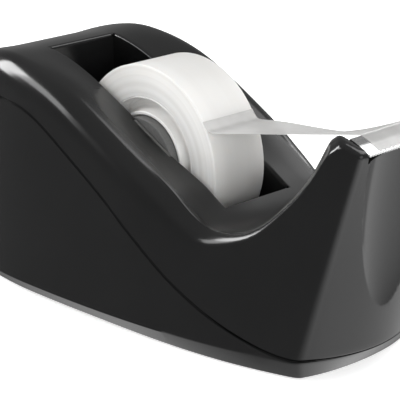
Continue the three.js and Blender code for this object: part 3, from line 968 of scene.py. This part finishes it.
# The hub: two halves that plug together inside the core. Their end plates sit
# in the case's slanted seats and keep the hub from turning.
hub = {
    "radius": core["bore"] - gap,
    "spigot": 5,
    "spigotLength": 8,
    "edge": 0.35,
    "flush": 0.15,
    "endPlay": 0.6,
}


def roundedRod(name, radius, y0, y1, edge, segments=96):
    profile = [(0, y0)]
    profile += [
        (radius - edge * (1 - math.sin(t)), y0 + edge * (1 - math.cos(t)))
        for t in np.linspace(0, math.pi / 2, 5)
    ]
    profile += [
        (radius - edge * (1 - math.cos(t)), y1 - edge * (1 - math.sin(t)))
        for t in np.linspace(0, math.pi / 2, 5)
    ]
    profile.append((0, y1))
    rings = [[(x, y, z) for x, z in circle(0, 0, r, segments)] for r, y in profile]
    piece = gridSolid(name, rings)
    piece.data.transform(Matrix.Translation((0, 0, rollHeight)))
    return piece


def buildHub():
    end = well["half"] - gap
    plateIn, plateOut = end - 0.2, well["half"] + seat["depth"] - hub["endPlay"]
    outline = seatOutline(seat["radius"] - gap, seat["mouth"], 48)
    outer.data.transform(Matrix.Translation((0, 0, -hub["flush"])))
    halves = ((-1, "hub_near_moulded", "hub_near_half"), (1, "hub_far_moulded", "hub_far_half"))
    for side, name, node in halves:
        y0, y1 = sorted((side * gap / 2, side * end))
        piece = roundedRod("hub", hub["radius"], y0, y1, hub["edge"])
        # The end plate's top follows the case's own surface.
        plate = sideExtrusion("plate", outline, *sorted((side * plateIn, side * plateOut)))
        combine(plate, outer, "INTERSECT", keepTool=True)
        combine(plate, rimRounders[0 if side < 0 else 1], "DIFFERENCE")
        combine(piece, plate, "UNION")
        if side < 0:
            combine(piece, roundedRod("spigot", hub["spigot"], -1, hub["spigotLength"], 0.5, 64), "UNION")
        else:
            bore = roundedRod("bore", hub["spigot"] + gap, -1, hub["spigotLength"] + gap, 0.3, 64)
            combine(piece, bore, "DIFFERENCE")
        toFrame(piece)
        finishPiece(piece, name, "hub", [node], hubMatt, 35)
    for tool in rimRounders[2:] + [outer]:
        bpy.data.objects.remove(tool)


# The cutter: bent steel strip with sharp teeth on a moulded carrier.
teeth = {"pitch": 1.0, "depth": 0.75, "bend": 1.1, "valley": 0.06}
carrier = {"setback": 1.4, "round": 0.45, "pocketStep": 5.1, "pocketHalf": 1.9, "pocketDeep": 2.4}


def thinSheet(name, rows, thickness):
    # A closed sheet from rows of points on its upper face, thickened downwards.
    rows = np.array(rows, float)
    n, m = rows.shape[:2]
    along = np.gradient(rows, axis=0)
    across = np.gradient(rows, axis=1)
    normal = np.cross(along, across)
    normal /= np.linalg.norm(normal, axis=2)[:, :, None]
    if normal[:, :, 2].mean() < 0:
        normal = -normal
    lower = rows - normal * thickness
    verts = np.vstack([rows.reshape(-1, 3), lower.reshape(-1, 3)])
    size = n * m
    faces = []
    for i in range(n - 1):
        for j in range(m - 1):
            a, b, c, d = i * m + j, i * m + j + 1, (i + 1) * m + j + 1, (i + 1) * m + j
            faces += [(a, b, c, d), (size + d, size + c, size + b, size + a)]
    border = list(range(m))
    border += [i * m + m - 1 for i in range(1, n)]
    border += [(n - 1) * m + j for j in range(m - 2, -1, -1)]
    border += [i * m for i in range(n - 2, 0, -1)]
    for a, b in zip(border, border[1:] + border[:1]):
        faces.append((b, a, size + a, size + b))
    return cleanUp(makeObject(name, verts, faces), 1e-5)


def leftOf(direction):
    return np.array([-direction[1], direction[0]])


def bladeLine(lift=0.0, short=0.0):
    # Side view of the blade's upper face: platform, rounded bend, sloping edge.
    rear, fold, tip = cutter["rear"], cutter["fold"], cutter["tip"]
    flat = (fold - rear) / np.linalg.norm(fold - rear)
    slope = (tip - fold) / np.linalg.norm(tip - fold)
    start, end = fold - flat * teeth["bend"], fold + slope * teeth["bend"]
    line = [lerp(rear, start, t) + leftOf(flat) * lift for t in (0, 0.5)]
    for t in np.linspace(0, 1, 6):
        line.append(bezier([start, fold, end], t) + leftOf(lerp(flat, slope, t)) * lift)
    root = tip - slope * (teeth["depth"] + short)
    line += [lerp(end, root, t) + leftOf(slope) * lift for t in (0.5, 1)]
    return np.array(line), slope


def buildBlade():
    line, slope = bladeLine()
    half, step = cutter["half"], teeth["pitch"] / 2
    count = int(2 * half / teeth["pitch"])
    ys = [-half] + [-count * step + i * step for i in range(2 * count + 1)] + [half]
    rows = [[(x, y, z) for y in ys] for x, z in line]
    edge = []
    for k, y in enumerate(ys):
        isTip = k % 2 == 0 and 0 < k < len(ys) - 1
        x, z = line[-1] + slope * (teeth["depth"] if isTip else teeth["valley"])
        edge.append((x, y, z))
    piece = thinSheet("blade", rows + [edge], cutter["thick"])
    toFrame(piece)
    finishPiece(piece, "cutter_blade_toothed", "case", ["cutter_blade"], bladeBright, 30, False)


def buildCarrier():
    low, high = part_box("blade_carrier")
    x0, x1 = (low.x - rollCentre.x) / millimetre, (high.x - rollCentre.x) / millimetre
    x1 -= carrier["setback"]
    z0 = pocketFloor + gap
    under = cutter["thick"] + gap
    rear, fold = cutter["rear"], cutter["fold"]
    outline = [
        (x0, z0),
        (x1, z0),
        (x1 - 0.6, fold[1] - under - 0.2),
        (rear[0] - 0.3, rear[1] - under - 0.1),
    ]
    piece = sideExtrusion("carrier", rounded(outline, carrier["round"], 4), -cutter["half"], cutter["half"])
    # Pockets in its underside keep the moulding's walls even.
    for i in range(-2, 3):
        y, side = i * carrier["pocketStep"], carrier["pocketHalf"]
        ends = (x0 + 1, x1 - 1.2, y - side, y + side, z0 - 1, z0 + carrier["pocketDeep"])
        combine(piece, boxSolid("pocket", *ends), "DIFFERENCE")
    toFrame(piece)
    finishPiece(piece, "blade_carrier_moulded", "case", ["blade_carrier"], baseMatt, 35)


# The free end of the tape. Its near edge is taut; the far edge sags between the
# roll and the cutter.
leader = {
    "thick": 0.08,
    "peel": math.radians(33),
    "peelSteps": (0.03, 0.015, 0.0),
    "offRoll": 0.12,
    "offBlade": 0.06,
    "afterPeel": ((24.0, 13.35), (26.0, 13.15), (31.7, 14.2)),
    "climb": ((44.2, 0.275), (57.3, 0.56)),
    "sag": 3.2,
    "sagFrom": (25, 60),
    "bow": 0.5,
    "across": 24,
    "endShort": 0.25,
}


def buildLeader():
    # Points (x, z) of the taut edge: off the roll, then up to the cutter.
    r = rollRadius + leader["offRoll"]
    angles = [leader["peel"] + a for a in leader["peelSteps"]]
    taut = [(r * math.cos(a), rollHeight + r * math.sin(a)) for a in angles]
    blade, slope = bladeLine(leader["offBlade"] + leader["thick"], leader["endShort"])
    rearX, rearZ = blade[0]
    taut += [(x, rollHeight + up) for x, up in leader["afterPeel"]]
    level, rise = leader["afterPeel"][-1][1], rearZ - rollHeight
    taut += [(x, rollHeight + lerp(level, rise, share)) for x, share in leader["climb"]]
    taut += [(rearX - 4, rearZ - 0.75), (rearX, rearZ)]
    line = smoothLine(taut, 8)
    free = len(line)
    line = np.vstack([line, blade[1:]])
    rows = []
    for i, (x, z) in enumerate(line):
        row = []
        for j in range(leader["across"] + 1):
            share = j / leader["across"]
            y = lerp(-tapeHalf, tapeHalf, share)
            drop = 0
            if i < free:
                sagStart, sagFull = leader["sagFrom"]
                span = float(smoothstep(x, sagStart, sagFull) * (1 - smoothstep(x, 62, rearX - 0.5)))
                drop = leader["sag"] * span * share**1.5
                early = min(1, max(0, (x - sagStart) / 20))
                drop += leader["bow"] * math.sin(math.pi * early) * math.sin(math.pi * share)
            row.append((x, y, z - drop))
        rows.append(row)
    # The end is torn against the teeth, so it keeps their zigzag.
    end = []
    step = 2 * tapeHalf / leader["across"]
    for j in range(leader["across"] + 1):
        x, z = line[-1] + slope * (0.5 if j % 2 else 0.02)
        end.append((x, -tapeHalf + j * step, z))
    piece = thinSheet("leader", rows + [end], leader["thick"])
    toFrame(piece)
    finishPiece(piece, "tape_leader_film", "hub", ["tape_leader"], tapeFilm, 60, False)


# Underneath: screws, base plate and foam pad.
def buildScrews():
    head, shank = screw["head"], screw["shank"]
    root = shank - screw["threadDepth"]
    for node in screwNodes:
        x, y, foot, top = placeOf(node)
        neck = foot + screw["headHeight"]
        profile = [(0, foot), (head - 0.5, foot), (head, foot + 0.45), (head, neck), (shank, neck)]
        z = neck + 0.4
        while z < top - 2:
            profile += [(root, z), (root, z + 0.2), (shank, z + screw["pitch"] / 2)]
            z += screw["pitch"]
        profile += [(root, z), (0.25, top - 0.2), (0, top)]
        rings = [[(*p, h) for p in circle(x, y, r, 40)] for r, h in profile]
        piece = gridSolid("screw", rings)
        wide, arm = (size / 2 for size in screw["slot"])
        for dx, dy in ((arm, wide), (wide, arm)):
            slot = boxSolid("slot", x - dx, x + dx, y - dy, y + dy, foot - 1, foot + screw["slotDepth"])
            combine(piece, slot, "DIFFERENCE")
        toFrame(piece)
        finishPiece(piece, node + "_threaded", "case", [node], screwZinc, 30, False)


def buildBase(plateLoft, padLoft):
    low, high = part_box("base_plate")
    z0, z1 = low.z / millimetre, high.z / millimetre
    combine(plateLoft, boxSolid("slab", -farX, farX, -farY, farY, z0, z1), "INTERSECT")
    for node in screwNodes:
        x, y, foot, top = placeOf(node)
        combine(plateLoft, pillar("hole", x, y, -1, 20, screw["shank"] + gap), "DIFFERENCE")
        sink = pillar("sink", x, y, -1, foot + screw["headHeight"] + gap, screw["head"] + gap)
        combine(plateLoft, sink, "DIFFERENCE")
    toFrame(plateLoft)
    finishPiece(plateLoft, "base_plate_moulded", "case", ["base_plate"], baseMatt, 30, False)

    low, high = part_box("nonskid_pad")
    combine(padLoft, boxSolid("slab", -farX, farX, -farY, farY, 0, high.z / millimetre), "INTERSECT")
    toFrame(padLoft)
    finishPiece(padLoft, "nonskid_pad_foam", "case", ["nonskid_pad"], padFoam, 30, False)


buildRoll()
buildCore()
buildHub()
buildBlade()
buildCarrier()
buildLeader()
buildScrews()
buildBase(plateLoft, padLoft)
for node in ("rear_ballast", "front_ballast"):
    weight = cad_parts[node]
    weight.data.materials.clear()
    weight.data.materials.append(ballastIron)
print("roll, hub, cutter and base made")

# Camera, lights and floor

view = {"azimuth": 45.485, "elevation": 18.643, "place": (350.88, -333.77, 190.25), "lens": 162}
azimuth, elevation = math.radians(view["azimuth"]), math.radians(view["elevation"])
back = Vector(
    (
        math.sin(azimuth) * math.cos(elevation),
        -math.cos(azimuth) * math.cos(elevation),
        math.sin(elevation),
    )
)
cameraData = bpy.data.cameras.new("camera")
cameraData.lens = view["lens"]
cameraData.sensor_width = 36
cameraData.clip_start, cameraData.clip_end = 0.01, 10
camera = bpy.data.objects.new("camera", cameraData)
camera.location = intoFrame @ Vector(view["place"])
camera.rotation_mode = "QUATERNION"
camera.rotation_quaternion = (-back).to_track_quat("-Z", "Y")
bpy.context.scene.collection.objects.link(camera)
bpy.context.scene.camera = camera

floorMaterial, floorTree = newMaterial("floor_white")
setShader(floorTree, {"Base Color": (0.92, 0.92, 0.92, 1), "Roughness": 0.6})
setShader(floorTree, {"Emission Color": (1, 1, 1, 1), "Emission Strength": 0.6})
floor = makeObject("floor", [(-3, -3, 0), (3, -3, 0), (3, 3, 0), (-3, 3, 0)], [(0, 1, 2, 3)], floorMaterial)
floor.visible_glossy = False  # the gloss mirrors the studio's own gradient instead

# The studio round the object: dim at eye level, lighter overhead and low down,
# lightest low on the right.
studio = {
    "base": 0.25,
    "overhead": 0.15,
    "low": 1.1,
    "right": 1.15,
    "rightSide": (0.87, 0.5, 0),
}
world = bpy.data.worlds.new("studio")
bpy.context.scene.world = world
world.use_nodes = True
sky = world.node_tree
direction = addNode(sky, "TexCoord", {})["Generated"]
height = addNode(sky, "SeparateXYZ", {"Vector": direction})["Z"]
towards = sky.nodes.new("ShaderNodeVectorMath")
towards.operation = "DOT_PRODUCT"
feed(sky, towards.inputs[0], direction)
feed(sky, towards.inputs[1], studio["rightSide"])


def skyRange(value, start, end, amount):
    return addRange(sky, value, 0, amount, start, end, "SMOOTHSTEP")


overhead = skyRange(height, 0.55, 0.95, studio["overhead"])
low = skyRange(height, -0.5, -0.9, studio["low"])
right = skyRange(towards.outputs["Value"], -0.2, 0.9, studio["right"])
right = addMaths(sky, "MULTIPLY", right, skyRange(height, 0.05, -0.45, 1))
glow = addMaths(sky, "ADD", addMaths(sky, "ADD", overhead, low), addMaths(sky, "ADD", right, studio["base"]))
feed(sky, sky.nodes["Background"].inputs["Strength"], glow)
feed(sky, sky.nodes["Background"].inputs["Color"], (1, 1, 1, 1))


def softbox(name, azimuth, elevation, distance, size, radiance):
    # A rectangular light that faces the object from a direction, in degrees.
    a, e = math.radians(azimuth), math.radians(elevation)
    aim = Vector((0, 0, 0.04))
    away = Vector((math.sin(a) * math.cos(e), -math.cos(a) * math.cos(e), math.sin(e)))
    light = bpy.data.lights.new(name, "AREA")
    light.shape = "RECTANGLE"
    light.size, light.size_y = size
    light.energy = radiance * math.pi * size[0] * size[1]
    lamp = bpy.data.objects.new(name, light)
    lamp.location = aim + away * distance
    lamp.rotation_mode = "QUATERNION"
    lamp.rotation_quaternion = (-away).to_track_quat("-Z", "Y")
    bpy.context.scene.collection.objects.link(lamp)
    return lamp


softbox("key", -66, 29, 1.2, (0.42, 0.55), 12)
softbox("key_side", -41, 35, 1.2, (0.6, 0.32), 5)
softbox("right_fill", 100, 24, 1.2, (1.0, 0.7), 1.2)
softbox("back_top", 168, 46, 1.2, (0.7, 0.75), 2.3)
# Two more light the tape and leave the gloss as it is.
for lamp in (
    softbox("front_diffuse", 66, 6, 1.4, (1.2, 0.8), 6),
    softbox("rear_diffuse", -105, 52, 1.2, (0.8, 0.8), 0.7),
):
    lamp.visible_glossy = False
softbox("rim", -176, 16, 1.3, (0.5, 0.3), 5)
bpy.context.scene.view_settings.view_transform = "Standard"
print("camera and lights ready")
